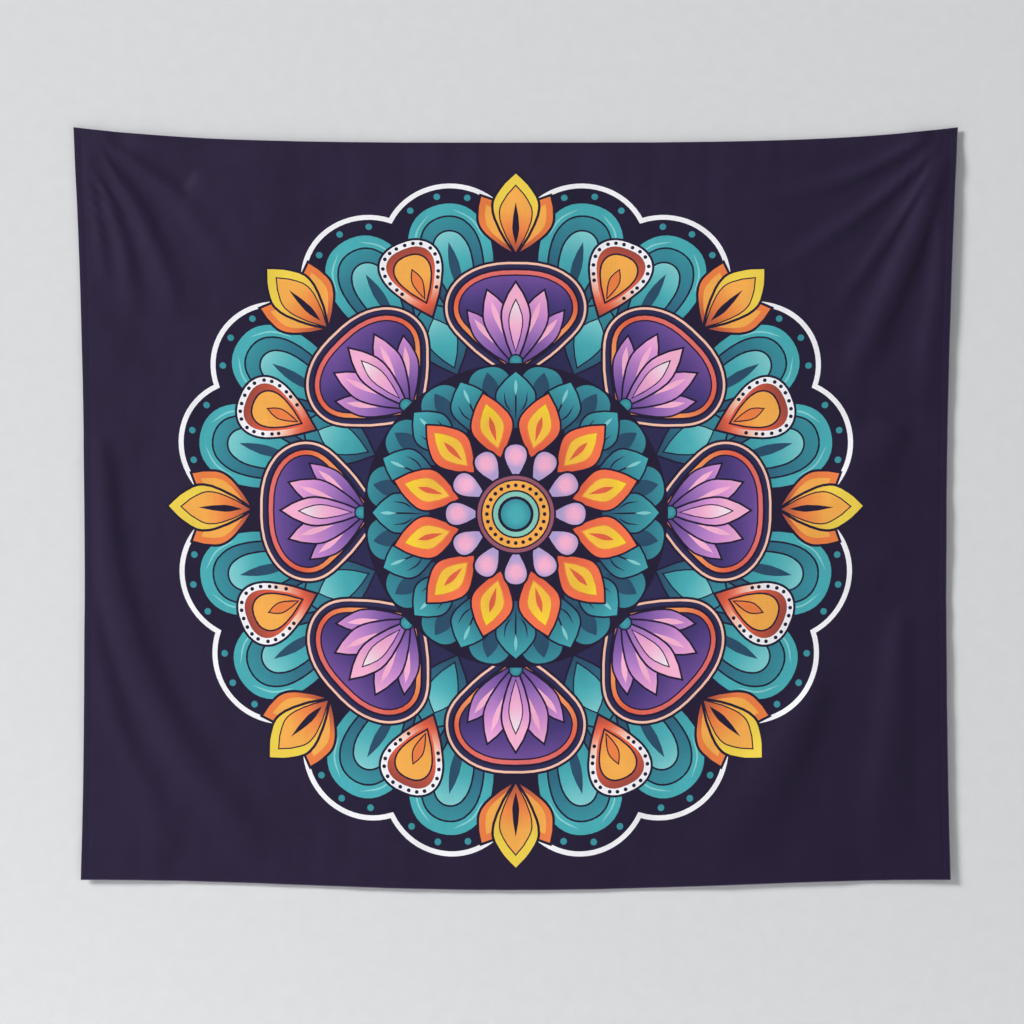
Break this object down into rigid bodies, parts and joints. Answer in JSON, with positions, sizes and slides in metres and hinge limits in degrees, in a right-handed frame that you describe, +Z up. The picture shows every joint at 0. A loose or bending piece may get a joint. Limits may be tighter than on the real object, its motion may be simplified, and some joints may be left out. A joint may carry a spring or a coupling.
{
  "type": "tapestry wall hanging",
  "caption": "Wide printed cloth wall hanging with a hem sewn all round, held by hidden tape loops behind its top corners.",
  "frame": {"origin": "on the wall plane, midway between the two points where the hanging loops go over their nails", "axes": "+Z up, +X to the right as the printed front is seen, +Y into the wall, so the printed front faces -Y"},
  "size_m": [1.528, 0.0066, 1.318],
  "materials": {
    "printed_cloth": "dull printed polyester, dark aubergine ground",
    "hem_cloth": "the same cloth, turned over to the back",
    "sewing_thread": "dark polyester thread",
    "loop_tape": "dark narrow twill tape",
    "label_ribbon": "white satin ribbon, blank"
  },
  "bodies": {
    "cloth": {"cloth_panel": "printed_cloth", "hem_top": "hem_cloth", "needle_thread_top": "sewing_thread", "bobbin_thread_top": "sewing_thread", "hem_bottom": "hem_cloth", "needle_thread_bottom": "sewing_thread", "bobbin_thread_bottom": "sewing_thread", "hem_left": "hem_cloth", "needle_thread_left": "sewing_thread", "bobbin_thread_left": "sewing_thread", "hem_right": "hem_cloth", "needle_thread_right": "sewing_thread", "bobbin_thread_right": "sewing_thread", "loop_tab_left": "loop_tape", "loop_tack_left": "sewing_thread", "loop_tab_right": "loop_tape", "loop_tack_right": "sewing_thread"},
    "loop_left": {"hanging_loop_left": "loop_tape"},
    "loop_right": {"hanging_loop_right": "loop_tape"},
    "label": {"care_label": "label_ribbon"}
  },
  "joints": [
    {"name": "loop_left_fold", "type": "hinge", "parent": "cloth", "child": "loop_left", "pos_m": [-0.757, -0.0031, -0.008], "axis": [-1, 0, 0], "range_deg": [0, 175]},
    {"name": "loop_right_fold", "type": "hinge", "parent": "cloth", "child": "loop_right", "pos_m": [0.757, -0.0031, -0.008], "axis": [-1, 0, 0], "range_deg": [0, 175]},
    {"name": "label_flip", "type": "hinge", "parent": "cloth", "child": "label", "pos_m": [-0.73475, -0.0064, -1.138], "axis": [0, 0, 1], "range_deg": [0, 170]}
  ]
}
